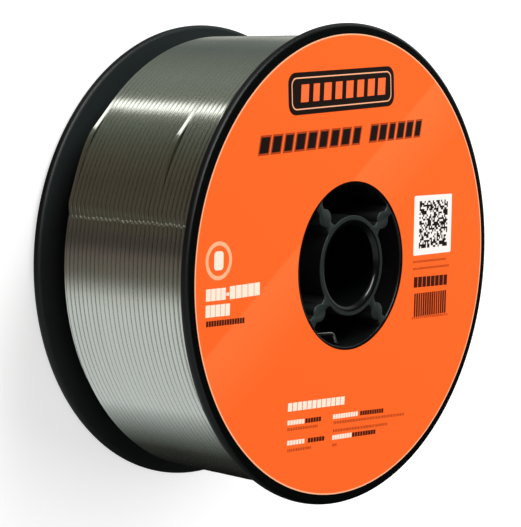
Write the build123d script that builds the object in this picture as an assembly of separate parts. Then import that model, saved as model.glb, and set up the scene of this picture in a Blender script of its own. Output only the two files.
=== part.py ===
"""A four-inch welding wire spool: a black moulded spool, its wound wire and its paper label.

Millimetres, +Z up. The spool lies on its back flange with its axis along Z, and its
labelled face looks up. The origin is at the middle of the bore, half-way between the
outer faces of the flanges. Seen from above, +Y is the top of the label's print.
"""
import os

from build123d import *

# Flanges: thinner at the rim than at the root, as a moulding needs to leave its tool.
flange_d = 100.0
spool_width = 43.0
rim_thickness = 1.9
root_thickness = 2.5
rim_bevel = 0.6

# Barrel that carries the wire.
barrel_bore_d = 33.8
barrel_wall = 2.0
barrel_lip_bevel = 0.4

# Centre tube that turns on the feeder's spindle. Each mouth has a rounded edge, made in two
# bevels, and then narrows in a short cone to the bore.
bore_d = 16.5
tube_wall = 2.25
mouth_d = 19.2
mouth_edge = 0.95
mouth_edge_share = 0.3
mouth_depth = 2.5

# Ribs between the tube and the barrel, each with a round ejector column at mid-span.
rib_count = 4
first_rib_angle = 45.0
rib_thickness = 1.9
column_d = 3.8
rib_bite = 0.5

# Wound wire. The last layer stops short of the back flange, and the winding falls away there.
# Round ridges stand for the turns of the outermost layer, one for every four turns.
wire_d = 0.9
winding_d = 95.2
winding_clearance = 0.15
last_layer_gap = 4.1
falling_depth = 6.0
ridge_pitch = 5.0
ridge_depth = 0.9

# Start of the wire: it comes in through a hole in the barrel and is bent over.
start_hole_d = 1.8
start_depth = 3.7
start_side = 1.1
start_lean = 1.6
start_reach = 2.4
start_tail = 6.3
start_bend = 1.6

# Paper label on the front face.
label_d = 95.6
label_hole_d = 35.2
label_thickness = 0.15

front = spool_width / 2
back = -spool_width / 2
flange_r = flange_d / 2
barrel_inner_r = barrel_bore_d / 2
barrel_outer_r = barrel_inner_r + barrel_wall
tube_outer_r = bore_d / 2 + tube_wall


def turned(outline):
    """Turns a closed outline of (radius, z) points about the spool's axis."""
    return revolve(Plane.XZ * make_face(Polyline(outline, close=True)), Axis.Z)


def flange_thickness(radius):
    """Gives the flange's thickness at a radius, between its root and its rim."""
    share = (radius - barrel_outer_r) / (flange_r - barrel_outer_r)
    return root_thickness + share * (rim_thickness - root_thickness)


def circles_at(solid, radius):
    """Gives the round edges of a turned solid that have one radius."""
    edges = solid.edges().filter_by(GeomType.CIRCLE)
    return edges.filter_by(lambda edge: abs(edge.radius - radius) < 1e-6)


def flanged_barrel():
    """The two flanges and the barrel between them, as one turned body."""
    body = turned([
        (barrel_inner_r, front),
        (flange_r, front),
        (flange_r, front - rim_thickness),
        (barrel_outer_r, front - root_thickness),
        (barrel_outer_r, back + root_thickness),
        (flange_r, back + rim_thickness),
        (flange_r, back),
        (barrel_inner_r, back),
    ])
    body = chamfer(circles_at(body, flange_r), rim_bevel)
    return chamfer(circles_at(body, barrel_inner_r), barrel_lip_bevel)


def mouth(face, inward):
    """Outline points of one mouth of the tube, from its face down to the bore."""
    return [
        (mouth_d / 2, face),
        (mouth_d / 2 - mouth_edge * (1 - mouth_edge_share), face + inward * mouth_edge * mouth_edge_share),
        (mouth_d / 2 - mouth_edge, face + inward * mouth_edge),
        (bore_d / 2, face + inward * mouth_depth),
    ]


def centre_tube():
    """The tube round the bore, with its two mouths."""
    upper = mouth(front, -1)
    lower = mouth(back, 1)
    return turned([(tube_outer_r, back), (tube_outer_r, front)] + upper + lower[::-1])


def rib():
    """One rib with its ejector column, standing out from the tube along X."""
    inner = tube_outer_r - rib_bite
    outer = barrel_inner_r + rib_bite
    middle = (tube_outer_r + barrel_inner_r) / 2
    web = Pos((inner + outer) / 2, 0) * Rectangle(outer - inner, rib_thickness)
    column = Pos(middle, 0) * Circle(column_d / 2)
    return Pos(0, 0, back) * extrude(web + column, spool_width)


def start_point():
    """Where the wire's start crosses the inner wall of the barrel."""
    height = (barrel_inner_r ** 2 - start_side ** 2) ** 0.5
    return Vector(start_side, -height, front - start_depth)


def start_corner():
    """Where the wire's start is bent over."""
    return start_point() + Vector(-start_lean, start_reach, 0)


def start_hole():
    """The hole in the barrel that the wire's start comes through."""
    outward = (start_point() - start_corner()).normalized()
    hole_plane = Plane(origin=start_point() - outward * barrel_wall / 2, z_dir=outward)
    return extrude(hole_plane * Circle(start_hole_d / 2), 2.5 * barrel_wall)


def make_spool():
    """The black spool, moulded in one piece."""
    body = flanged_barrel() + centre_tube()
    for number in range(rib_count):
        angle = first_rib_angle + number * 360 / rib_count
        body += Rot(0, 0, angle) * rib()
    return body - start_hole()


def wire_start():
    """The wire's bent start, from the innermost turns into the hub."""
    corner = start_corner()
    outward = (start_point() - corner).normalized()
    root = start_point() + outward * (barrel_wall + winding_clearance + 2 * wire_d)
    tail = corner + Vector(-start_tail, 0, 0)
    path = FilletPolyline(root, corner, tail, radius=start_bend)
    section = Plane(origin=root, z_dir=path % 0) * Circle(wire_d / 2)
    return sweep(section, path)


def ridges(radius, high, low):
    """Outline points of the outermost layer, with a crest at each end and a groove below each crest."""
    count = round((high - low) / ridge_pitch)
    pitch = (high - low) / count
    points = [(radius, high)]
    for number in range(count):
        points.append((radius - ridge_depth, high - (number + 0.5) * pitch))
        points.append((radius, high - (number + 1) * pitch))
    return points


def make_wire_coil():
    """The wound wire as one turned body, with its start standing in the hub."""
    inner_r = barrel_outer_r + winding_clearance
    outer_r = winding_d / 2
    low_r = outer_r - falling_depth
    first_turn = front - flange_thickness(outer_r) - winding_clearance
    last_turn = back + flange_thickness(outer_r) + last_layer_gap
    inner_front = (inner_r, front - flange_thickness(inner_r) - winding_clearance)
    falling_turns = [
        (low_r, back + flange_thickness(low_r) + winding_clearance),
        (inner_r, back + flange_thickness(inner_r) + winding_clearance),
    ]
    body = turned([inner_front] + ridges(outer_r, first_turn, last_turn) + falling_turns)
    return body + wire_start()


def make_label():
    """The round paper label with its hole, stuck on the front flange."""
    ring = Circle(label_d / 2) - Circle(label_hole_d / 2)
    return Pos(0, 0, front) * extrude(ring, label_thickness)


os.makedirs("parts", exist_ok=True)
export_step(make_spool(), "parts/spool.step")
export_step(make_wire_coil(), "parts/wire_coil.step")
export_step(make_label(), "parts/label.step")
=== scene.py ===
# %% [markdown]
# # A small spool of welding wire
# The spool lies on its back flange and its round paper label looks up. Three things show:
# the black moulded spool, the steel wire wound on it, and the printed label. The packed
# model gives their real sizes, and this file gives them their finish. Everything is in
# metres, and `mm` turns a size in millimetres into metres.

# %% Open the frame
import math

import bmesh
import bpy
from mathutils import Matrix, Vector


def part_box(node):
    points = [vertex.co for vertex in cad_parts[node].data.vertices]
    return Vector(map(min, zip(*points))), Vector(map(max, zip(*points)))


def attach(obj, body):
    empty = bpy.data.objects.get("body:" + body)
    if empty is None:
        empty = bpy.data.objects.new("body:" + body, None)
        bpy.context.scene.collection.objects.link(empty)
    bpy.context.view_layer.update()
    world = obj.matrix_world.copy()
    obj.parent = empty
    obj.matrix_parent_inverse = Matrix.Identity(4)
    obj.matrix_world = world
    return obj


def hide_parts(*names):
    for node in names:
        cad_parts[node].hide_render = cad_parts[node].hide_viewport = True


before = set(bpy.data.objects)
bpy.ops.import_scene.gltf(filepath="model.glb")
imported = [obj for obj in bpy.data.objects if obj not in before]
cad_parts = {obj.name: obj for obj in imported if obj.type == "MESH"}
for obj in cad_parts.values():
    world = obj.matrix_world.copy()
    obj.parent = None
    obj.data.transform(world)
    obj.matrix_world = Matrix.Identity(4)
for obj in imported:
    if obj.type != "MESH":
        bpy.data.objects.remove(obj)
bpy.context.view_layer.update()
mm = 0.001
scene = bpy.context.scene
scene.view_settings.view_transform = "Standard"
print("nodes:", sorted(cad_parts))

# %% [markdown]
# The sizes come from the frame where it has them: the boxes of the spool, the winding and
# the label give their radii and heights. What a box can't give, such as the thickness of
# the wire or the place of the wire's start, is a named value here.

# %% Sizes
spool_low, spool_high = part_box("spool")
coil_low, coil_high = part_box("wire_coil")
label_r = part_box("label")[1][0]
floor_z = spool_low[2]
face_z = spool_high[2]
flange_r = min(spool_high[0], spool_high[1])
winding_r = coil_high[0]
winding_top = coil_high[2]
winding_foot = coil_low[2]

rim_thickness, root_thickness, rim_round = 1.9 * mm, 2.5 * mm, 0.85 * mm
barrel_inner_r, barrel_outer_r, lip_round = 16.9 * mm, 18.9 * mm, 0.4 * mm
bore_r, tube_outer_r, tube_round = 8.25 * mm, 10.5 * mm, 0.2 * mm
mouth_wall_r, mouth_round, mouth_depth = 8.35 * mm, 1.35 * mm, 2.5 * mm
rib_count, first_rib_angle, rib_half, rib_round = 4, math.radians(45), 0.95 * mm, 0.2 * mm
rib_fillet, rib_swell, rib_bite = 0.4 * mm, 0.5 * mm, 0.5 * mm
column_r, column_at = 1.9 * mm, 13.7 * mm
wire_d, turn_pitch, drawn_d = 0.9 * mm, 1.2 * mm, 1.06 * mm
label_hole_r = 17.6 * mm
mouth_edge_r = 9.6 * mm
flat_hold = 0.04 * mm
kink_angle, kink_spread, kink_half_width = [math.radians(turn) for turn in (171.3, 0.6, 0.35)]
print("flange radius %.2f mm, winding radius %.2f mm" % (flange_r / mm, winding_r / mm))

# %% [markdown]
# Three helpers are used all the way through. `add_node` adds one node to any node tree
# with its settings and links. `linear` turns an sRGB hex colour into the linear values
# that a shader expects. `new_material` starts an empty material. The kinds of node that
# come up most often have short names here, some of them with their usual setting. The two
# that rescale take a value, the two ends of its range and the two ends that these become;
# `ease` does it with a soft start and end.

# %% Helpers for nodes and colours
maths, vector_maths, rescale = "ShaderNodeMath", "ShaderNodeVectorMath", "ShaderNodeMapRange"
combine, separate, noise = "ShaderNodeCombineXYZ", "ShaderNodeSeparateXYZ", "ShaderNodeTexNoise"
add, subtract, multiply, divide, absolute, multiply_add = [
    (maths, {"operation": step})
    for step in ("ADD", "SUBTRACT", "MULTIPLY", "DIVIDE", "ABSOLUTE", "MULTIPLY_ADD")]
ease = rescale, {"interpolation_type": "SMOOTHSTEP"}
noise_along = noise, {"noise_dimensions": "1D"}
mix_colours = "ShaderNodeMix", {"data_type": "RGBA"}


def add_node(tree, kind, inputs=(), **settings):
    """Adds a node; its inputs go by name or in order, and each is a value, an output or a node."""
    kind, usual = kind if isinstance(kind, tuple) else (kind, {})
    new = tree.nodes.new(kind)
    for name, value in {**usual, **settings}.items():
        setattr(new, name, value)
    for name, value in inputs.items() if isinstance(inputs, dict) else enumerate(inputs):
        socket = new.inputs[name] if isinstance(name, int) else next(
            one for one in new.inputs if one.name == name and one.enabled)
        if isinstance(value, bpy.types.Node):
            value = next(one for one in value.outputs if one.enabled)
        if isinstance(value, bpy.types.NodeSocket):
            tree.links.new(value, socket)
        else:
            socket.default_value = value
    return new


def linear(hex_colour):
    """The linear RGBA of an sRGB hex colour such as FF6C30."""
    shares = [int(hex_colour[i:i + 2], 16) / 255 for i in (0, 2, 4)]
    return [s / 12.92 if s <= 0.04045 else ((s + 0.055) / 1.055) ** 2.4 for s in shares] + [1.0]


def new_material(name):
    """An empty material and its node tree."""
    material = bpy.data.materials.new(name)
    material.use_nodes = True
    material.node_tree.nodes.clear()
    return material, material.node_tree


# %% [markdown]
# ## Black moulded plastic
# The spool is injection-moulded polystyrene, coloured through with black. The steel that
# forms the outer faces and the mouth of the tube is polished, so their skin is nearly
# black and shiny. The end faces of the hub and the inner sides of the flanges come off
# turned steel, which leaves them matt. There the base colour is painted a little grey: a
# painted sheen that stands in for light mirrored softly by the matt plastic. The rims and
# the walls inside the hub are matt and black. The material tells these places apart by the
# distance from the axis and the height. A fine noise on the roughness breaks the shine a
# little, as hand polishing does.

# %% Black moulded plastic
def make_black_plastic():
    """Moulded black polystyrene: polished outer faces and mouth, matt hub and inner sides in
    painted grey sheen.
    """
    material, tree = new_material("black_moulded_polystyrene")
    place = add_node(tree, "ShaderNodeTexCoord").outputs["Object"]
    across = add_node(tree, vector_maths, [place, (1.0, 1.0, 0.0)], operation="MULTIPLY")
    radius = add_node(tree, vector_maths, [across], operation="LENGTH").outputs["Value"]
    parts = add_node(tree, separate, {"Vector": place})
    height = add_node(tree, absolute, [parts.outputs["Z"]])
    within_hub = add_node(tree, rescale, [radius, barrel_inner_r + 0.3 * lip_round, barrel_inner_r])
    past_hub = add_node(tree, subtract, [1.0, within_hub])
    fade, matt, shiny = 0.1 * mm, 0.48, 0.2
    past_mouth = add_node(tree, rescale, [radius, mouth_edge_r - fade, mouth_edge_r + fade])
    in_mouth = add_node(tree, subtract, [1.0, past_mouth])
    on_face = add_node(tree, rescale, [height, face_z - 2 * fade, face_z - fade])
    hub_ring = add_node(tree, multiply, [within_hub, past_mouth])
    hub_face_painted_sheen = add_node(tree, multiply, [hub_ring, on_face])
    outer_face = add_node(tree, multiply, [past_hub, on_face])
    polished = add_node(tree, maths, [outer_face, in_mouth], operation="MAXIMUM")
    past_barrel = add_node(tree, rescale, [radius, barrel_outer_r, barrel_outer_r + mm])
    inner_z = face_z - rim_thickness
    under_face = add_node(tree, rescale, [height, inner_z + 4 * fade, inner_z])
    inner_side_painted_sheen = add_node(tree, multiply, [past_barrel, under_face])
    polish = add_node(tree, noise, {
        "Vector": place, "Scale": 1 / (6 * mm), "Detail": 4.0, "Roughness": 0.6})
    unevenness = add_node(tree, rescale, [polish, 0.0, 1.0, -0.03, 0.05])
    gloss = add_node(tree, rescale, [polished, 0.0, 1.0, matt, shiny])
    roughness = add_node(tree, add, [gloss, unevenness])
    # Painted sheen: the hub's end faces and the flanges' inner sides get a greyer base colour that
    # stands in for soft light mirrored by the matt plastic.
    black_or_painted_sheen = add_node(tree, mix_colours, {
        "Factor": inner_side_painted_sheen, "A": linear("030404"), "B": linear("0E1313")})
    colour = add_node(tree, mix_colours, {
        "Factor": hub_face_painted_sheen, "A": black_or_painted_sheen, "B": linear("141918")})
    skin = add_node(tree, noise, {"Vector": place, "Scale": 1 / (0.35 * mm), "Detail": 2.0})
    bump = add_node(tree, "ShaderNodeBump", {
        "Height": skin, "Strength": 0.1, "Distance": 0.02 * mm})
    shader = add_node(tree, "ShaderNodeBsdfPrincipled", {
        "Base Color": colour, "Roughness": roughness, "IOR": 1.58, "Specular IOR Level": 0.25,
        "Normal": bump})
    add_node(tree, "ShaderNodeOutputMaterial", {"Surface": shader})
    return material


black_plastic = make_black_plastic()

# %% [markdown]
# ## The moulded spool
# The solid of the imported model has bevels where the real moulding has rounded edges. Here
# the same outline gets true roundings, which draw the fine bright lines round the rims and
# the mouth of the tube. The spool is turned from two outlines, the flanged barrel and the
# centre tube. Four ribs with their ejector columns are drawn in plan and raised, and all
# of it is joined into one closed body.


# %% Turning an outline
def bend(before, corner, after, rounding, steps, hold=None):
    """Points along the round bend between two straight runs, with one more on each if held."""
    inward, outward = (before - corner).normalized(), (after - corner).normalized()
    half_angle = inward.angle(outward) / 2
    reach = rounding / math.tan(half_angle)
    middle = corner + (inward + outward).normalized() * rounding / math.sin(half_angle)
    start, end = corner + inward * reach - middle, corner + outward * reach - middle
    points = [middle + start.slerp(end, step / steps) * rounding for step in range(steps + 1)]
    # A point a little way along each run keeps a flat face flat in its shading.
    if hold:
        points = [middle + start + inward * hold] + points + [middle + end + outward * hold]
    return points


def rounded(corners, steps=6):
    """Points of a closed outline whose corners are (radius, height, rounding)."""
    points = []
    for number, (radius, height, rounding) in enumerate(corners):
        here = Vector((radius, height))
        before = Vector(corners[number - 1][:2])
        after = Vector(corners[(number + 1) % len(corners)][:2])
        points += bend(before, here, after, rounding, steps, flat_hold) if rounding else [here]
    return points


def put_in_scene(name, data):
    """Puts a mesh, curve, lamp or camera into the scene as an object."""
    piece = bpy.data.objects.new(name, data)
    scene.collection.objects.link(piece)
    return piece


def plain_mesh(piece):
    """The mesh that comes out of an object's curve or modifiers."""
    bpy.context.view_layer.update()
    made = piece.evaluated_get(bpy.context.evaluated_depsgraph_get())
    return bpy.data.meshes.new_from_object(made)


def new_object(name, shape):
    """Turns a bmesh into a mesh object with its faces pointing outwards."""
    bmesh.ops.recalc_face_normals(shape, faces=shape.faces)
    mesh = bpy.data.meshes.new(name)
    shape.to_mesh(mesh)
    shape.free()
    return put_in_scene(name, mesh)


def turned(name, outline, steps=256):
    """Turns a closed outline of (radius, height) points about Z into a closed mesh."""
    shape = bmesh.new()
    rings = []
    for number in range(steps):
        angle = 2 * math.pi * number / steps
        x, y = math.cos(angle), math.sin(angle)
        rings.append([shape.verts.new((r * x, r * y, z)) for r, z in outline])
    for number in range(steps):
        here, there = rings[number], rings[(number + 1) % steps]
        for i in range(len(outline)):
            j = (i + 1) % len(outline)
            shape.faces.new((here[i], there[i], there[j], here[j]))
    return new_object(name, shape)


flange_outline = rounded([
    (barrel_inner_r, face_z, lip_round),
    (flange_r, face_z, rim_round),
    (flange_r, face_z - rim_thickness, rim_round),
    (barrel_outer_r, face_z - root_thickness, 0),
    (barrel_outer_r, floor_z + root_thickness, 0),
    (flange_r, floor_z + rim_thickness, rim_round),
    (flange_r, floor_z, rim_round),
    (barrel_inner_r, floor_z, lip_round)])
tube_outline = rounded([
    (tube_outer_r, floor_z, tube_round),
    (tube_outer_r, face_z, tube_round),
    (mouth_wall_r, face_z, mouth_round),
    (bore_r, face_z - mouth_depth, 0.3 * mm),
    (bore_r, floor_z + mouth_depth, 0.3 * mm),
    (mouth_wall_r, floor_z, mouth_round)])
moulded_spool = turned("moulded_spool", flange_outline)
tube = turned("tube", tube_outline)
print("outlines have", len(flange_outline), "and", len(tube_outline), "points")


# %% Ribs with their ejector columns
def rib_half_width(at):
    """Half the rib's thickness at a distance from the axis, swelling smoothly into its column."""
    in_column = math.sqrt(max(column_r ** 2 - (at - column_at) ** 2, 0.0))
    roots = [math.exp(-gap / rib_fillet) for gap in (at - tube_outer_r, barrel_inner_r - at)]
    web = rib_half + rib_swell * min(sum(roots), 1.0)
    softness = 12
    return (web ** softness + in_column ** softness) ** (1 / softness)


def raised_rib(angle, steps=44):
    """One rib as a closed body: its plan, raised to the spool's height, with a rounded edge."""
    start, end = tube_outer_r - rib_bite, barrel_inner_r + rib_bite
    along = [start + (end - start) * number / steps for number in range(steps + 1)]
    plan = [Vector((at, rib_half_width(at))) for at in along]
    plan += [Vector((at, -rib_half_width(at))) for at in reversed(along)]
    turn = Matrix.Rotation(angle, 4, "Z")
    edge = [(0.0, rib_round), (0.3, 0.55 * rib_round), (0.7, 0.2 * rib_round), (1.0, 0.0)]
    levels = [(share * rib_round, floor_z + drop) for share, drop in reversed(edge)]
    levels += [(share * rib_round, face_z - drop) for share, drop in edge]
    shape = bmesh.new()
    rings = []
    for inset, height in levels:
        ring = []
        for point in plan:
            side = math.copysign(1.0, point.y)
            ring.append(shape.verts.new(turn @ Vector((point.x, point.y - side * inset, height))))
        rings.append(ring)
    for low, high in zip(rings, rings[1:]):
        for i in range(len(plan)):
            j = (i + 1) % len(plan)
            shape.faces.new((low[i], low[j], high[j], high[i]))
    shape.faces.new(rings[0])
    shape.faces.new(rings[-1])
    return new_object("rib", shape)


def combined(base, other, operation):
    """Adds another closed body to the base, or cuts it out of the base."""
    modifier = base.modifiers.new("with_" + other.name, "BOOLEAN")
    modifier.operation = operation
    modifier.solver = "EXACT"
    modifier.object = other
    mesh = plain_mesh(base)
    base.modifiers.clear()
    base.data = mesh
    bpy.data.objects.remove(other)


def joined(name, pieces):
    """Joins several mesh objects into the first of them and names it."""
    bpy.ops.object.select_all(action="DESELECT")
    for piece in pieces:
        piece.select_set(True)
    bpy.context.view_layer.objects.active = pieces[0]
    bpy.ops.object.join()
    pieces[0].name = name
    pieces[0].data.name = name
    print(name, "has", len(pieces[0].data.polygons), "faces")
    return pieces[0]


rib_angles = [first_rib_angle + 2 * math.pi * number / rib_count for number in range(rib_count)]
ribs = joined("ribs", [raised_rib(angle) for angle in rib_angles])
combined(moulded_spool, tube, "UNION")
combined(moulded_spool, ribs, "UNION")
print("spool has", len(moulded_spool.data.polygons), "faces")

# %% [markdown]
# The start of the wire comes through a small hole in the barrel and is bent over to the
# left. The same corners place the hole and the wire in it.

# %% Hole for the start of the wire
start_hole_r, start_side, start_depth = 0.9 * mm, 1.1 * mm, 3.7 * mm
start_lean, start_reach, start_tail, start_bend = 1.6 * mm, 2.4 * mm, 6.3 * mm, 1.6 * mm
start_hole_length, winding_clearance = 5.0 * mm, 0.15 * mm
start_z = face_z - start_depth
start_entry = Vector((start_side, -math.sqrt(barrel_inner_r ** 2 - start_side ** 2), start_z))
start_corner = start_entry + Vector((-start_lean, start_reach, 0))
start_out = (start_entry - start_corner).normalized()
through_wall = barrel_outer_r - barrel_inner_r + winding_clearance + 2 * wire_d
start_root = start_entry + start_out * through_wall

hole_middle = Matrix.Translation(start_entry + start_out * 1.5 * mm)
hole_turn = start_out.to_track_quat("Z", "Y").to_matrix().to_4x4()
shape = bmesh.new()
bmesh.ops.create_cone(
    shape, cap_ends=True, segments=32, radius1=start_hole_r, radius2=start_hole_r,
    depth=start_hole_length, matrix=hole_middle @ hole_turn)
combined(moulded_spool, new_object("start_hole", shape), "DIFFERENCE")


# %% Finish the spool
def smoothed(piece, sharp_from=40.0, sliver=0.005 * mm):
    """Clears slivers and shades a piece smooth, but for edges sharper than an angle in degrees."""
    shape = bmesh.new()
    shape.from_mesh(piece.data)
    bmesh.ops.remove_doubles(shape, verts=shape.verts, dist=sliver)
    bare_edges = [edge for edge in shape.edges if not edge.link_faces]
    bmesh.ops.delete(shape, geom=bare_edges, context="EDGES")
    bare_points = [point for point in shape.verts if not point.link_faces]
    bmesh.ops.delete(shape, geom=bare_points, context="VERTS")
    for face in shape.faces:
        face.smooth = True
    for edge in shape.edges:
        edge.smooth = edge.calc_face_angle(0.0) < math.radians(sharp_from)
    open_edges = sum(1 for edge in shape.edges if len(edge.link_faces) != 2)
    shape.to_mesh(piece.data)
    shape.free()
    print(piece.name, "has", open_edges, "open edges")


smoothed(moulded_spool)
moulded_spool.data.materials.clear()
moulded_spool.data.materials.append(black_plastic)
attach(moulded_spool, "root")
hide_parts("spool")

# %% [markdown]
# ## Steel wire
# The wire is a thin steel tube, drawn down round its flux and left bright. The die draws
# fine lines along the wire. They spread the shine across the wire and hardly along it, so
# each turn mirrors a lamp as one short bright stroke. That is an anisotropic metal whose
# tangent runs round the spool. A noise with long patches makes single stretches of wire a
# little lighter or darker, as they are on a full spool. Where the turns step over to their
# next places, each has a small kink. The kinks line up, and a low bump draws them as one
# thin, uneven line across the winding.

# %% Steel wire
def make_steel():
    """Drawn low-carbon steel: a grey metal whose shine follows the drawing lines."""
    material, tree = new_material("drawn_steel_wire")
    place = add_node(tree, "ShaderNodeTexCoord").outputs["Object"]
    stretch = add_node(tree, "ShaderNodeMapping", {"Vector": place, "Scale": (60.0, 60.0, 900.0)})
    patches = add_node(tree, noise, {
        "Vector": stretch, "Scale": 1.0, "Detail": 3.0, "Roughness": 0.6})
    tone = add_node(tree, mix_colours, {
        "Factor": patches, "A": linear("DCDED6"), "B": linear("E6E8E0")})
    shine = add_node(tree, rescale, [patches, 0.0, 1.0, 0.17, 0.12])
    along = add_node(tree, "ShaderNodeTangent", direction_type="RADIAL", axis="Z")
    parts = add_node(tree, separate, {"Vector": place})
    around = add_node(tree, maths, [parts.outputs["Y"], parts.outputs["X"]], operation="ARCTAN2")
    uneven = add_node(tree, noise_along, {
        "W": parts.outputs["Z"], "Scale": 1 / (2.5 * mm), "Detail": 2.0})
    kink_at = add_node(tree, rescale, [
        uneven, 0.0, 1.0, kink_angle - kink_spread, kink_angle + kink_spread])
    off_kink = add_node(tree, subtract, [around, kink_at])
    far = add_node(tree, absolute, [off_kink])
    kink = add_node(tree, ease, [far, 0.0, kink_half_width, 1.0, 0.0])
    bump = add_node(tree, "ShaderNodeBump", {
        "Height": kink, "Strength": 1.0, "Distance": 0.05 * mm})
    shader = add_node(tree, "ShaderNodeBsdfPrincipled", {
        "Base Color": tone, "Metallic": 1.0, "Roughness": shine, "Anisotropic": 0.7,
        "Anisotropic Rotation": 0.25, "Tangent": along, "Normal": bump})
    add_node(tree, "ShaderNodeOutputMaterial", {"Surface": shader})
    return material


steel = make_steel()

# %% [markdown]
# ## The wound wire
# A full spool shows its outermost layer of turns, a little of the layer under it through
# the gaps, and the turns that fall away at the back end. Each turn runs round the spool
# and then steps over to its next place in a short stretch, always at the same side of the
# spool, so the steps line up. Geometry Nodes are the right tool, because the whole layer
# follows that one rule: a spiral is made, each of its points is pushed to its turn's
# place, and a round section is swept along it. The same tree makes every layer.


# %% Geometry Nodes helpers
def new_tree(name, sizes):
    """A geometry tree with one named input for each size and a geometry output."""
    tree = bpy.data.node_groups.new(name, "GeometryNodeTree")
    tree.interface.new_socket("Geometry", in_out="OUTPUT", socket_type="NodeSocketGeometry")
    for label, value in sizes.items():
        kind = "NodeSocketInt" if isinstance(value, int) else "NodeSocketFloat"
        if value is None:
            kind = "NodeSocketMaterial"
        socket = tree.interface.new_socket(label, in_out="INPUT", socket_type=kind)
        if value is not None:
            socket.default_value = value
    return tree, add_node(tree, "NodeGroupInput").outputs


def finish_tree(tree, geometry, material):
    """Realizes what the tree made, gives it its material and sends it out."""
    real = add_node(tree, "GeometryNodeRealizeInstances", {"Geometry": geometry})
    dressed = add_node(tree, "GeometryNodeSetMaterial", {"Geometry": real, "Material": material})
    add_node(tree, "NodeGroupOutput", {"Geometry": dressed})


def made_by(tree, name, sizes):
    """Runs a geometry tree with these sizes and keeps the result as a plain mesh object."""
    piece = put_in_scene(name, bpy.data.meshes.new(name + "_start"))
    modifier = piece.modifiers.new("made_by", "NODES")
    modifier.node_group = tree
    for socket in tree.interface.items_tree:
        if socket.in_out == "INPUT" and socket.name in sizes:
            modifier[socket.identifier] = sizes[socket.name]
    mesh = plain_mesh(piece)
    piece.modifiers.clear()
    piece.data = mesh
    mesh.name = name
    return piece


# %% [markdown]
# In the tree, a turn's number comes from the point's index. Within a turn, the climb of
# the spiral is taken away and given back in one short, smooth step. Two one-dimensional
# noises along the wire let it wander a little along the spool and sink in a little, which
# parts some turns and raises others. Once in every so many turns, a short stretch runs
# straight instead of round and stands off a little, as it does where a turn lies loose.
# Such a stretch draws the shine of the lamp out into a long bright streak.

# %% The tree for one layer of turns
winding, size = new_tree("layer_of_turns", {
    "Start Radius": 0.047, "End Radius": 0.047, "Turns": 28.0, "Height": 0.034, "Base": -0.015,
    "Wire": wire_d, "Points per Turn": 120, "Sides": 10, "Step Place": 0.5, "Step Length": 0.03,
    "Wander": 0.0, "Sink": 0.0, "Loose Place": 0.0, "Loose Every": 20.0, "Loose Height": 0.0,
    "Seed": 1, "Material": None})
spiral = add_node(winding, "GeometryNodeCurveSpiral", {
    "Resolution": size["Points per Turn"], "Rotations": size["Turns"],
    "Start Radius": size["Start Radius"], "End Radius": size["End Radius"],
    "Height": size["Height"], "Reverse": True})
index = add_node(winding, "GeometryNodeInputIndex")
turn = add_node(winding, divide, [index, size["Points per Turn"]])
shifted = add_node(winding, subtract, [turn, size["Step Place"]])
centred = add_node(winding, add, [shifted, 0.5])
share = add_node(winding, maths, [centred], operation="FRACT")
half_step = add_node(winding, multiply, [size["Step Length"], 0.5])
step_start = add_node(winding, subtract, [0.5, half_step])
step_end = add_node(winding, add, [0.5, half_step])
step = add_node(winding, ease, [share, step_start, step_end])
pitch = add_node(winding, divide, [size["Height"], size["Turns"]])
late = add_node(winding, subtract, [step, share])
stepping = add_node(winding, multiply, [pitch, late])

wander_at = add_node(winding, add, [turn, size["Seed"]])
wander = add_node(winding, noise_along, {"W": wander_at, "Scale": 1.3, "Detail": 2.0})
wander_z = add_node(winding, rescale, [wander, 0.0, 1.0, 0.0, size["Wander"]])
sink_at = add_node(winding, multiply_add, [size["Seed"], 7.7, turn])
sink = add_node(winding, noise_along, {"W": sink_at, "Scale": 8.0, "Detail": 2.0})
sink_r = add_node(winding, multiply, [sink, size["Sink"]])

# A loose stretch ends and is back on its layer at these shares of a turn.
loose_end, back_at = 0.028, 0.07
in_cycle = add_node(winding, maths, [turn, size["Loose Every"]], operation="FLOORED_MODULO")
past_place = add_node(winding, subtract, [in_cycle, size["Loose Place"]])
leaving = add_node(winding, rescale, [past_place, 0.0, loose_end])
straight = add_node(winding, maths, [leaving, 2.0], operation="POWER")
coming_back = add_node(winding, ease, [past_place, loose_end, back_at, 1.0, 0.0])
loose = add_node(winding, multiply, [straight, coming_back])
loose_r = add_node(winding, multiply, [loose, size["Loose Height"]])
radial = add_node(winding, subtract, [loose_r, sink_r])

position = add_node(winding, "GeometryNodeInputPosition")
flat = add_node(winding, vector_maths, [position, (1.0, 1.0, 0.0)], operation="MULTIPLY")
outward = add_node(winding, vector_maths, [flat], operation="NORMALIZE")
push = add_node(winding, vector_maths, {0: outward, "Scale": radial}, operation="SCALE")
climb_and_wander = add_node(winding, add, [stepping, wander_z])
lifted = add_node(winding, add, [climb_and_wander, size["Base"]])
climb = add_node(winding, combine, {"Z": lifted})
offset = add_node(winding, vector_maths, [push, climb], operation="ADD")
placed = add_node(winding, "GeometryNodeSetPosition", {"Geometry": spiral, "Offset": offset})
wire_r = add_node(winding, multiply, [size["Wire"], 0.5])
section = add_node(winding, "GeometryNodeCurvePrimitiveCircle", {
    "Resolution": size["Sides"], "Radius": wire_r})
swept = add_node(winding, "GeometryNodeCurveToMesh", {
    "Curve": placed, "Profile Curve": section, "Fill Caps": True})
smooth = add_node(winding, "GeometryNodeSetShadeSmooth", {"Geometry": swept})
finish_tree(winding, smooth, size["Material"])

# %% [markdown]
# The outer layer ends a few millimetres short of the back flange, where the next ones
# underneath come out one by one in a short slope. The slope is the same tree with a
# radius that grows as it climbs. Each layer nests in the gaps of the one below it, which
# sets how far down the next one lies. The outer turns are drawn a little thicker than the
# wire, which leaves the gaps between them as narrow as they look on a tightly wound spool.

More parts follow.
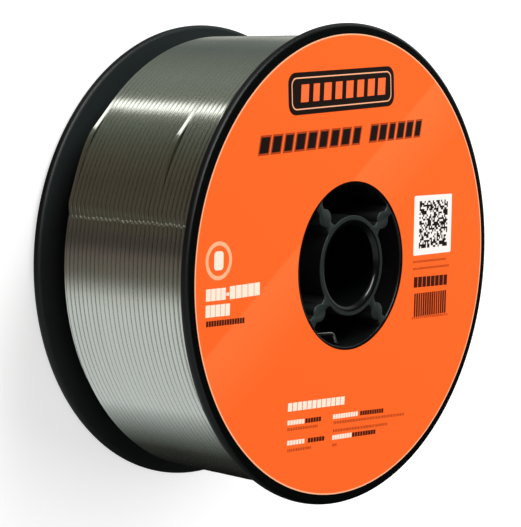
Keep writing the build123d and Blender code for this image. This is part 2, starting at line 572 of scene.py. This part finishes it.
# %% Wind the layers
layer_drop = math.sqrt(wire_d ** 2 - (turn_pitch / 2) ** 2)
turn_inset, flange_gap, last_turn_gap = 0.01 * mm, 0.06 * mm, 6.45 * mm
outer_centre_r = winding_r - drawn_d / 2 - turn_inset
outer_top = winding_top - wire_d / 2 - flange_gap
last_turn_z = floor_z + last_turn_gap
slope_drop = 6.0 * mm
outer_height = outer_top - last_turn_z
outer_turns = outer_height / turn_pitch
crossover = 170 / 360

outer_layer = made_by(winding, "outer_turns", {
    "Start Radius": outer_centre_r, "End Radius": outer_centre_r, "Turns": outer_turns,
    "Height": outer_height, "Base": last_turn_z, "Wire": drawn_d, "Points per Turn": 240,
    "Sides": 12, "Step Place": crossover, "Step Length": 0.010, "Wander": 0.05 * mm,
    "Sink": 0.06 * mm, "Loose Place": 0.3875, "Loose Height": 0.72 * mm, "Seed": 3,
    "Material": steel})
hidden_turns = {
    "End Radius": outer_centre_r - layer_drop, "Wire": wire_d, "Points per Turn": 96, "Sides": 8,
    "Step Length": 0.05, "Material": steel}
under_layer = made_by(winding, "under_turns", {
    **hidden_turns, "Start Radius": outer_centre_r - layer_drop, "Turns": outer_turns,
    "Height": outer_height, "Base": last_turn_z - turn_pitch / 2, "Step Place": crossover - 0.1,
    "Wander": 0.05 * mm, "Sink": 0.04 * mm, "Seed": 11})
slope = made_by(winding, "falling_turns", {
    **hidden_turns, "Start Radius": outer_centre_r - slope_drop, "Turns": 8.0,
    "Height": last_turn_z - winding_foot - wire_d, "Base": winding_foot + wire_d / 2,
    "Step Place": 0.2, "Wander": 0.08 * mm, "Sink": 0.08 * mm, "Seed": 5})
print("outer layer has %.1f turns, the next lies %.2f mm deeper" % (outer_turns, layer_drop / mm))

# %% [markdown]
# A plain drum under the turns closes the view between them. The bent start of the wire
# that stands in the hub is swept along its corners with a round bend.

# %% Drum under the turns
drum_gap, drum_inset = 0.1 * mm, 0.6 * mm
drum_r = outer_centre_r - layer_drop - drum_gap
drum_bore_r, drum_top = barrel_outer_r + 2 * drum_gap, winding_top - drum_inset
drum = turned("drum", [
    (drum_bore_r, drum_top), (drum_r, drum_top), (drum_r, last_turn_z),
    (drum_r - slope_drop + wire_d, winding_foot + drum_inset),
    (drum_bore_r, winding_foot + drum_gap)], steps=128)
drum.data.materials.append(steel)


# %% Bent start of the wire
def bent_wire(name, corners, rounding, diameter):
    """A round wire along straight runs joined by a bend of the given radius."""
    curve = bpy.data.curves.new(name, "CURVE")
    curve.dimensions = "3D"
    curve.bevel_depth = diameter / 2
    curve.bevel_resolution = 6
    curve.use_fill_caps = True
    before, corner, after = corners
    points = [before] + bend(before, corner, after, rounding, 12) + [after]
    spline = curve.splines.new("POLY")
    spline.points.add(len(points) - 1)
    for point, place in zip(spline.points, points):
        point.co = (*place, 1.0)
    holder = put_in_scene(name + "_curve", curve)
    mesh = plain_mesh(holder)
    bpy.data.objects.remove(holder)
    mesh.materials.append(steel)
    return put_in_scene(name, mesh)


start_end = start_corner - Vector((start_tail, 0, 0))
wire_start = bent_wire("wire_start", [start_root, start_corner, start_end], start_bend, wire_d)
smoothed(wire_start)

wound_wire = joined("wound_wire", [outer_layer, wire_start])
inner_turns = joined("inner_turns", [under_layer, slope, drum])
for piece in (wound_wire, inner_turns):
    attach(piece, "root")
    corners = [len(face.vertices) for face in piece.data.polygons]
    print(piece.name, "has", sum(corners) - 2 * len(corners), "triangles")
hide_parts("wire_coil")

# %% [markdown]
# ## Label paper
# The label is a ring of coated paper, printed orange nearly to its edge and stuck on the
# flange. The print leaves a thin unprinted rim, and a faint lighter band crosses it at a
# slant behind the hub. The orange is strong and even, with the low shine of coated paper.


# %% Label paper
def make_orange_paper():
    """Coated label paper printed in one strong orange with a faint lighter slanting band."""
    material, tree = new_material("orange_coated_paper")
    place = add_node(tree, "ShaderNodeTexCoord").outputs["Object"]
    slanting = add_node(tree, "ShaderNodeMapping", {
        "Vector": place, "Rotation": (0, 0, math.radians(-40))})
    across = add_node(tree, separate, {"Vector": slanting})
    upper_edge = add_node(tree, rescale, [across.outputs["Y"], 14.8 * mm, 14.2 * mm])
    fade_in = add_node(tree, ease, [across.outputs["Y"], -3.0 * mm, 14.0 * mm])
    band = add_node(tree, multiply, [upper_edge, fade_in])
    ink = add_node(tree, mix_colours, {
        "Factor": band, "A": linear("FF6520"), "B": linear("FF7030")})
    fibre = add_node(tree, noise, {"Vector": place, "Scale": 1 / (0.5 * mm), "Detail": 3.0})
    bump = add_node(tree, "ShaderNodeBump", {
        "Height": fibre, "Strength": 0.08, "Distance": 0.01 * mm})
    shader = add_node(tree, "ShaderNodeBsdfPrincipled", {
        "Base Color": ink, "Roughness": 0.6, "Normal": bump})
    add_node(tree, "ShaderNodeOutputMaterial", {"Surface": shader})
    return material


def make_ink(name, colour, roughness):
    """Printing ink or bare paper in one colour, with a faint unevenness of the print."""
    material, tree = new_material(name)
    place = add_node(tree, "ShaderNodeTexCoord").outputs["Object"]
    wear = add_node(tree, noise, {"Vector": place, "Scale": 1 / (0.8 * mm), "Detail": 2.0})
    dull = add_node(tree, rescale, [wear, 0.0, 1.0, roughness - 0.05, roughness + 0.05])
    shader = add_node(tree, "ShaderNodeBsdfPrincipled", {
        "Base Color": linear(colour), "Roughness": dull})
    add_node(tree, "ShaderNodeOutputMaterial", {"Surface": shader})
    return material


orange_paper = make_orange_paper()
black_ink = make_ink("black_printing_ink", "120604", 0.45)
brown_ink = make_ink("brown_overprint_ink", "3E0E02", 0.5)
rust_ink = make_ink("rust_fine_print_ink", "A83C10", 0.5)
orange_ink = make_ink("orange_printing_ink", "FF6E34", 0.5)
peach_ink = make_ink("peach_printing_ink", "FFB488", 0.5)
cream_ink = make_ink("cream_printing_ink", "FFE9D4", 0.5)
bare_paper = make_ink("bare_white_paper", "F4EEE8", 0.55)

paper_thickness = 0.08 * mm
paper_top = face_z + paper_thickness
film_step, ink_bite = 0.012 * mm, 0.01 * mm
rim_width, paper_inset, rim_inset = 0.3 * mm, 0.02 * mm, 0.01 * mm


def annulus(name, inner, outer, low, high, material, steps=256):
    """A flat ring between two radii and two heights."""
    ring = turned(name, [(inner, low), (outer, low), (outer, high), (inner, high)], steps)
    ring.data.materials.append(material)
    return ring


label_sheet = annulus("label_sheet", label_hole_r, label_r - paper_inset,
                      face_z, paper_top, orange_paper)
label_rim = annulus("label_rim", label_r - rim_width, label_r - rim_inset,
                    face_z + ink_bite, paper_top + film_step, peach_ink)

# %% [markdown]
# ## Print on the label
# The print is made of plain marks only: bars, blocks, dashes and squares in the places and
# sizes of a label's title, its columns of small print and its code patch. Nearly all of it
# is rows of marks, so one Geometry Nodes tree makes a row from its length, its height and
# the number of marks in it. A second tree makes a panel with rounded corners. The marks
# are very thin films on the paper, which keeps their edges sharp from close by.

# %% The tree for one row of marks
on_label = {"Tilt": 0.0, "X": 0.0, "Y": 0.0, "Low": 0.0, "Thickness": 0.01 * mm, "Material": None}


def lay_on_label(tree, size, shape, level, leans=True):
    """Leans a flat shape, turns it, puts it in its place on the label and ends the tree."""
    if leans:
        here = add_node(tree, "GeometryNodeInputPosition")
        parts = add_node(tree, separate, {"Vector": here})
        lean = add_node(tree, multiply, [parts.outputs["Y"], size["Slant"]])
        leaning = add_node(tree, combine, {"X": lean})
        shape = add_node(tree, "GeometryNodeSetPosition", {"Geometry": shape, "Offset": leaning})
    goal = add_node(tree, combine, {"X": size["X"], "Y": size["Y"], "Z": level})
    turn_by = add_node(tree, combine, {"Z": size["Tilt"]})
    put = add_node(tree, "GeometryNodeTransform", {
        "Geometry": shape, "Translation": goal, "Rotation": turn_by})
    finish_tree(tree, put, size["Material"])


row_tree, size = new_tree("row_of_marks", {
    "Length": 0.01, "Height": 0.001, "Marks": 1, "Gap": 0.2, "Unevenness": 0.0, "Slant": 0.0,
    "Seed": 1, **on_label})
mark_pitch = add_node(row_tree, divide, [size["Length"], size["Marks"]])
half_pitch = add_node(row_tree, multiply, [mark_pitch, 0.5])
first_mark = add_node(row_tree, combine, {"X": half_pitch})
step_on = add_node(row_tree, combine, {"X": mark_pitch})
line = add_node(row_tree, "GeometryNodeMeshLine", {
    "Count": size["Marks"], "Start Location": first_mark, "Offset": step_on}, mode="OFFSET")
narrowing = add_node(row_tree, "FunctionNodeRandomValue", {
    "Min": 0.0, "Max": size["Unevenness"], "Seed": size["Seed"]}, data_type="FLOAT")
without_gap = add_node(row_tree, subtract, [1.0, size["Gap"]])
inked = add_node(row_tree, subtract, [without_gap, narrowing])
mark_width = add_node(row_tree, multiply, [mark_pitch, inked])
mark_scale = add_node(row_tree, combine, {
    "X": mark_width, "Y": size["Height"], "Z": size["Thickness"]})
mark = add_node(row_tree, "GeometryNodeMeshCube")
marks = add_node(row_tree, "GeometryNodeInstanceOnPoints", {
    "Points": line, "Instance": mark, "Scale": mark_scale})
solid = add_node(row_tree, "GeometryNodeRealizeInstances", {"Geometry": marks})
film_middle = add_node(row_tree, multiply_add, [size["Thickness"], 0.5, size["Low"]])
lay_on_label(row_tree, size, solid, film_middle)

# %% The tree for a panel with rounded corners
panel_tree, size = new_tree("rounded_panel", {
    "Length": 0.01, "Height": 0.005, "Corner": 0.001, "Slant": 0.0, **on_label})
frame_line = add_node(panel_tree, "GeometryNodeCurvePrimitiveQuadrilateral", {
    "Width": size["Length"], "Height": size["Height"]})
soft_corners = add_node(panel_tree, "GeometryNodeFilletCurve", {
    "Curve": frame_line, "Radius": size["Corner"], "Limit Radius": True}, mode="POLY")
soft_corners.inputs["Count"].default_value = 6
filled = add_node(panel_tree, "GeometryNodeFillCurve", {"Curve": soft_corners}, mode="NGONS")
raise_by = add_node(panel_tree, combine, {"Z": size["Thickness"]})
raised = add_node(panel_tree, "GeometryNodeExtrudeMesh", {
    "Mesh": filled, "Offset": raise_by, "Individual": False})
underside = add_node(panel_tree, "GeometryNodeFlipFaces", {"Mesh": filled})
both = add_node(panel_tree, "GeometryNodeJoinGeometry")
panel_tree.links.new(raised.outputs["Mesh"], both.inputs[0])
panel_tree.links.new(underside.outputs["Mesh"], both.inputs[0])
closed = add_node(panel_tree, "GeometryNodeMergeByDistance", {
    "Geometry": both, "Distance": 0.001 * mm})
lay_on_label(panel_tree, size, closed, size["Low"])

# %% Helpers for the print
print_pieces = []


def print_on_label(tree, name, place, tilt, material, layer, sizes):
    """Prints one piece as a film of ink that reaches a little way into the paper."""
    print_pieces.append(made_by(tree, name, {
        **sizes, "X": place[0] * mm, "Y": place[1] * mm, "Tilt": tilt, "Material": material,
        "Low": paper_top - ink_bite, "Thickness": layer * film_step + ink_bite}))


def row_of_marks(left, right, height, material, marks, gap, unevenness, slant=0.0, layer=1,
                 seed=1):
    """Prints a row between the middles of its left and right ends, all in millimetres."""
    run = Vector(right) - Vector(left)
    name = "print_row_%02d" % len(print_pieces)
    print_on_label(row_tree, name, left, math.atan2(run.y, run.x), material, layer, {
        "Length": run.length * mm, "Height": height * mm, "Marks": marks, "Gap": gap,
        "Unevenness": unevenness, "Slant": slant, "Seed": seed})


def panel(middle, length, height, corner, tilt, material, slant=0.0, layer=1):
    """Prints a plain panel with rounded corners, in millimetres and degrees."""
    name = "print_panel_%02d" % len(print_pieces)
    print_on_label(panel_tree, name, middle, math.radians(tilt), material, layer, {
        "Length": length * mm, "Height": height * mm, "Corner": corner * mm, "Slant": slant})


# %% [markdown]
# The title is the largest thing on the label: a black panel with a thin line round it and
# a row of blocks in it, and under it a row of broad slanting blocks with an outline. Both
# climb by seven degrees towards the right.

# %% Title panel and title row
title_tilt = 7.4
panel_middle = (-6.7, 35.9)
panel(panel_middle, 34.6, 8.4, 2.2, title_tilt, black_ink, layer=1)
panel(panel_middle, 32.6, 6.4, 1.5, title_tilt, peach_ink, layer=2)
panel(panel_middle, 32.1, 5.9, 1.3, title_tilt, black_ink, layer=3)
row_of_marks((-20.6, 34.1), (7.9, 37.9), 3.5, orange_ink, 8, 0.2, 0.25, 0.1, layer=4, seed=5)
title_words = [((-31.8, 23.2), (0.6, 27.2), 9, 2), ((3.0, 27.6), (21.6, 29.9), 6, 8)]
for left, right, blocks, seed in title_words:
    row_of_marks(left, right, 3.9, rust_ink, blocks, 0.04, 0.2, 0.26, layer=1, seed=seed)
    row_of_marks(left, right, 3.1, black_ink, blocks, 0.22, 0.2, 0.26, layer=2, seed=seed)

# %% [markdown]
# The right side holds a white patch with a field of small squares, thin dashes under it, a
# row of blocks and a set of upright bars. The squares are scattered by a fixed seed.

# %% White patch with its field of squares
side_tilt = 4.0
panel((27.95, 9.1), 14.1, 13.0, 0.4, side_tilt, bare_paper)
field_tree, size = new_tree("field_of_squares", {
    "Width": 0.01, "Height": 0.01, "Squares": 24, "Chance": 0.5, "Seed": 4, **on_label})
field = add_node(field_tree, "GeometryNodeMeshGrid", {
    "Size X": size["Width"], "Size Y": size["Height"], "Vertices X": size["Squares"],
    "Vertices Y": size["Squares"]})
chance = add_node(field_tree, "FunctionNodeRandomValue", {
    "Probability": size["Chance"], "Seed": size["Seed"]}, data_type="BOOLEAN")
intervals = add_node(field_tree, subtract, [size["Squares"], 1.0])
square_width = add_node(field_tree, divide, [size["Width"], intervals])
square_height = add_node(field_tree, divide, [size["Height"], intervals])
square = add_node(field_tree, "GeometryNodeMeshCube")
square_scale = add_node(field_tree, combine, {
    "X": square_width, "Y": square_height, "Z": size["Thickness"]})
squares = add_node(field_tree, "GeometryNodeInstanceOnPoints", {
    "Points": field, "Selection": chance, "Instance": square, "Scale": square_scale})
film_middle = add_node(field_tree, multiply_add, [size["Thickness"], 0.5, size["Low"]])
lay_on_label(field_tree, size, squares, film_middle, leans=False)
field_middle = (28.15, 9.25)
print_on_label(
    field_tree, "field_of_squares", field_middle, math.radians(side_tilt), black_ink, 2, {
        "Width": 10.2 * mm, "Height": 9.9 * mm, "Squares": 24, "Chance": 0.55, "Seed": 4})

# %% Small print at the sides
side_rows = [
    ((21.4, 0.75), (33.9, 1.55), 0.5, rust_ink, 30, 0.3),
    ((21.5, -0.8), (35.2, 0.1), 0.5, rust_ink, 32, 0.3),
    ((22.1, -3.7), (34.9, -3.1), 2.3, brown_ink, 8, 0.12),
    ((22.7, -8.7), (35.0, -8.0), 5.1, brown_ink, 15, 0.25),
    ((22.2, -11.5), (36.0, -10.9), 0.5, rust_ink, 18, 0.35),
    ((-44.4, -5.6), (-38.75, -5.25), 2.3, cream_ink, 4, 0.08),
    ((-38.6, -5.4), (-37.8, -5.35), 0.6, cream_ink, 1, 0.0),
    ((-37.75, -5.15), (-28.9, -4.4), 2.5, cream_ink, 5, 0.08),
    ((-44.25, -8.65), (-37.3, -8.3), 2.3, cream_ink, 5, 0.08),
    ((-43.9, -11.05), (-32.9, -10.5), 1.1, brown_ink, 15, 0.16),
]
# %% Small print below the hub
foot_rows = [
    ((-18.25, -28.5), (0.3, -28.15), 1.7, cream_ink, 12, 0.12),
    ((-18.1, -31.65), (-12.6, -31.6), 0.95, cream_ink, 6, 0.14),
    ((-12.4, -31.6), (-7.2, -31.5), 0.95, brown_ink, 6, 0.14),
    ((-18.0, -33.0), (-8.2, -32.9), 0.6, rust_ink, 18, 0.35),
    ((-17.8, -35.75), (-12.2, -35.7), 0.95, cream_ink, 6, 0.14),
    ((-11.2, -35.7), (-5.75, -35.65), 0.95, brown_ink, 6, 0.14),
    ((-17.6, -37.3), (-9.9, -37.2), 0.6, rust_ink, 14, 0.35),
    ((-3.4, -31.4), (5.1, -31.25), 0.95, cream_ink, 10, 0.14),
    ((5.8, -31.25), (14.1, -31.2), 0.95, brown_ink, 10, 0.14),
    ((-3.1, -32.65), (21.75, -32.5), 0.6, rust_ink, 46, 0.35),
    ((-3.1, -34.35), (15.9, -34.25), 0.6, rust_ink, 36, 0.35),
    ((-3.25, -35.75), (3.4, -35.65), 0.95, cream_ink, 8, 0.14),
    ((3.5, -35.65), (11.75, -35.6), 0.95, brown_ink, 9, 0.14),
    ((-3.1, -37.3), (-1.5, -37.3), 0.6, rust_ink, 4, 0.35),
]
for left, right, height, material, marks, gap in side_rows + foot_rows:
    row_of_marks(left, right, height, material, marks, gap, 0.5 * gap, seed=len(print_pieces))

# %% Ring and block at the left
ring_x, ring_y = -41.3, 1.0
ring = annulus("print_ring", 2.9 * mm, 3.7 * mm, paper_top - ink_bite, paper_top + film_step,
               peach_ink, 96)
ring.data.transform(Matrix.Translation((ring_x * mm, ring_y * mm, 0)))
print_pieces.append(ring)
panel((ring_x, ring_y), 2.6, 3.6, 0.7, 3.0, cream_ink)

label_print = joined("label_print", print_pieces)
for piece in (label_sheet, label_rim, label_print):
    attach(piece, "root")
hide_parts("label")

# %% [markdown]
# ## Camera
# The camera looks at the label and the winding from above the spool's left side, rolled
# so that the print reads upright in the picture.

# %% Camera
camera_data = bpy.data.cameras.new("camera")
camera_data.lens = 115.874
camera_data.sensor_width = 36.0
camera_data.clip_start = 0.01
camera = put_in_scene("camera", camera_data)
scene.camera = camera

camera_place = Vector((-278.973 * mm, 17.735 * mm, 236.784 * mm))
camera_back = Vector((-0.75654434, 0.05223934, 0.65185252)).normalized()
camera_right = Vector((0.65394222, 0.05971131, 0.75418441)).normalized()
camera_up = camera_back.cross(camera_right).normalized()
camera.matrix_world = Matrix((
    (camera_right.x, camera_up.x, camera_back.x, camera_place.x),
    (camera_right.y, camera_up.y, camera_back.y, camera_place.y),
    (camera_right.z, camera_up.z, camera_back.z, camera_place.z),
    (0, 0, 0, 1)))

# %% [markdown]
# ## Floor, room and light
# The floor is white and keeps the spool's soft shadow. A full spool of bright wire shows
# the room it stands in more than anything else does, so the room is made for its shine.
# Every direction of the room is mirrored by one place round the winding, and the room's
# tones are laid out by that place: grey above, brown and dark behind the dark stretch of
# the wire, pale below, and one narrow bright strip that draws the band across the turns.
# Only what shines sees that room. What is matt is lit by an even sky and two soft boxes,
# and two more lamps light the black plastic alone.

# %% Floor
def make_floor_paint():
    """White studio floor; it keeps a soft shadow, and the shine of the wire looks past it."""
    material, tree = new_material("white_floor")
    seen_by = add_node(tree, "ShaderNodeLightPath")
    paint = add_node(tree, "ShaderNodeBsdfDiffuse", {"Color": (0.6, 0.6, 0.6, 1.0)})
    lift = add_node(tree, "ShaderNodeEmission", {"Color": (1.0, 1.0, 1.0, 1.0), "Strength": 0.66})
    white = add_node(tree, "ShaderNodeAddShader", [paint, lift])
    open_floor = add_node(tree, "ShaderNodeBsdfTransparent")
    mixed = add_node(tree, "ShaderNodeMixShader", [
        seen_by.outputs["Is Glossy Ray"], white, open_floor])
    add_node(tree, "ShaderNodeOutputMaterial", {"Surface": mixed})
    return material


def flat_sheet(name, width, depth, material):
    """A flat rectangle about the origin, facing +Z."""
    mesh = bpy.data.meshes.new(name)
    x, y = width / 2, depth / 2
    mesh.from_pydata([(-x, -y, 0), (x, -y, 0), (x, y, 0), (-x, y, 0)], [], [(0, 1, 2, 3)])
    mesh.materials.append(material)
    sheet = put_in_scene(name, mesh)
    return sheet


floor = flat_sheet("floor", 6.0, 6.0, make_floor_paint())
floor.data.transform(Matrix.Translation((0, 0, floor_z - 0.02 * mm)))

# %% Room that the shine sees
world = bpy.data.worlds.new("studio")
scene.world = world
world.use_nodes = True
world.cycles.sampling_method = "NONE"
room = world.node_tree
room.nodes.clear()
seen_by = add_node(room, "ShaderNodeLightPath")
looking = add_node(room, "ShaderNodeTexCoord")
directions = looking.outputs["Generated"]
mirror = add_node(room, vector_maths, [directions, camera_back], operation="ADD")
opposite = add_node(room, vector_maths, {0: mirror, "Scale": -1.0}, operation="SCALE")
facing = add_node(room, separate, {"Vector": opposite})
place_round = add_node(room, maths, [facing.outputs["Y"], facing.outputs["X"]], operation="ARCTAN2")
round_share = add_node(room, rescale, [place_round, -math.pi / 2, math.pi / 2])
room_tones = add_node(room, "ShaderNodeValToRGB", {"Fac": round_share})
tones = [(90, "D9DCD9"), (100, "C9CDC7"), (106, "7E8380"), (113, "676E6C"), (119, "70746E"),
         (128, "7D827B"), (141, "767A70"), (146, "5F645A"), (149, "56574E"), (155, "4D493E"),
         (161, "474036"), (170, "4D463C"), (177, "403B37"), (180, "635954"), (184, "68645C"),
         (186, "76736D"), (188, "9C9C99"), (190.5, "C5C8C6"), (194, "CFD4D5"), (198, "CED2D4"),
         (221, "CBD0D2"), (224, "A9AFAF"), (228, "878C8C"), (233, "5E6360"), (239, "2F312E"),
         (250, "151412")]
ramp = room_tones.color_ramp.elements
while len(ramp) < len(tones):
    ramp.new(0.5)
for element, (at, tone) in zip(ramp, tones):
    element.position = (at - 90) / 180
    element.color = linear(tone)

sideways, height, nearness = [
    add_node(room, vector_maths, [directions, axis], operation="DOT_PRODUCT").outputs["Value"]
    for axis in (camera_right, camera_up, camera_back)]
strip_at, strip_core, strip_edge = [math.radians(turn) for turn in (139.0 - 180, 0.7, 2.0)]
strip_strength = 1.5
off_strip = add_node(room, subtract, [place_round, strip_at])
distance = add_node(room, absolute, [off_strip])
strip = add_node(room, rescale, [distance, strip_edge, strip_core])
strip_end = add_node(room, rescale, [sideways, 0.9, 0.75])
strip_foot = add_node(room, rescale, [height, 0.2, 0.35])
cut_strip = add_node(room, multiply, [strip, strip_end])
whole_strip = add_node(room, multiply, [cut_strip, strip_foot])
strip_light = add_node(room, multiply, [whole_strip, strip_strength])

dark_end = add_node(room, rescale, [sideways, 0.85, 0.95, 1.0, 0.02])
dark_behind = add_node(room, rescale, [nearness, -0.95, -0.75, 0.05, 1.0])
dark_parts = add_node(room, multiply, [dark_end, dark_behind])
dimmed = add_node(room, mix_colours, {
    "Factor": 1.0, "A": room_tones.outputs["Color"], "B": dark_parts}, blend_type="MULTIPLY")
lit_room = add_node(room, mix_colours, {
    "Factor": 1.0, "A": dimmed, "B": strip_light}, blend_type="ADD")
shine_room = add_node(room, "ShaderNodeBackground", {"Color": lit_room, "Strength": 1.0})

# %% Even sky and white backdrop
even_sky = add_node(room, "ShaderNodeBackground", {"Color": (1, 1, 1, 1), "Strength": 0.16})
white = add_node(room, "ShaderNodeBackground", {"Color": (1, 1, 1, 1), "Strength": 1.0})
sky_or_room = add_node(room, "ShaderNodeMixShader", [
    seen_by.outputs["Is Glossy Ray"], even_sky, shine_room])
backdrop = add_node(room, "ShaderNodeMixShader", [
    seen_by.outputs["Is Camera Ray"], sky_or_room, white])
add_node(room, "ShaderNodeOutputWorld", {"Surface": backdrop})


# %% Lamps
def lamp(name, right, up, near, width, height, watts, along=None):
    """A soft box aimed at the spool, placed in metres to the right, up and towards the camera."""
    data = bpy.data.lights.new(name, "AREA")
    data.shape = "RECTANGLE"
    data.size = width
    data.size_y = height
    data.energy = watts
    place = camera_right * right + camera_up * up + camera_back * near
    to_lamp = place.normalized()
    long_side = (along or camera_right) - (along or camera_right).dot(to_lamp) * to_lamp
    long_side.normalize()
    short_side = to_lamp.cross(long_side)
    box = put_in_scene(name, data)
    aim = Matrix((long_side, short_side, to_lamp)).transposed().to_4x4()
    box.matrix_world = Matrix.Translation(place) @ aim
    return box


key = lamp("key_box", 1.16, 0.10, 0.29, 0.8, 0.8, 9.3)
side = lamp("side_box", 0.58, 0.85, 0.16, 0.5, 0.5, 12.0)
for box in (key, side):
    box.visible_glossy = False

# %% Two lamps for the black plastic alone
# Black plastic shows its shape only by what it mirrors, so it gets two lamps of its own.
# One draws the bright streak on the round mouth of the tube, and the other lifts the inner
# side of the back flange at the top.
black_things = bpy.data.collections.new("black_things")
black_things.objects.link(moulded_spool)
mouth_strip = lamp("mouth_strip", 0.305, 0.593, 0.746, 0.8, 0.25, 11.0,
                   along=Vector((-0.71, -0.66, 0.25)))
mouth_strip.visible_diffuse = False
flange_box = lamp("flange_box", 0.553, 0.812, 0.149, 0.5, 0.5, 26.0)
flange_box.visible_glossy = False
for box in (mouth_strip, flange_box):
    box.light_linking.receiver_collection = black_things
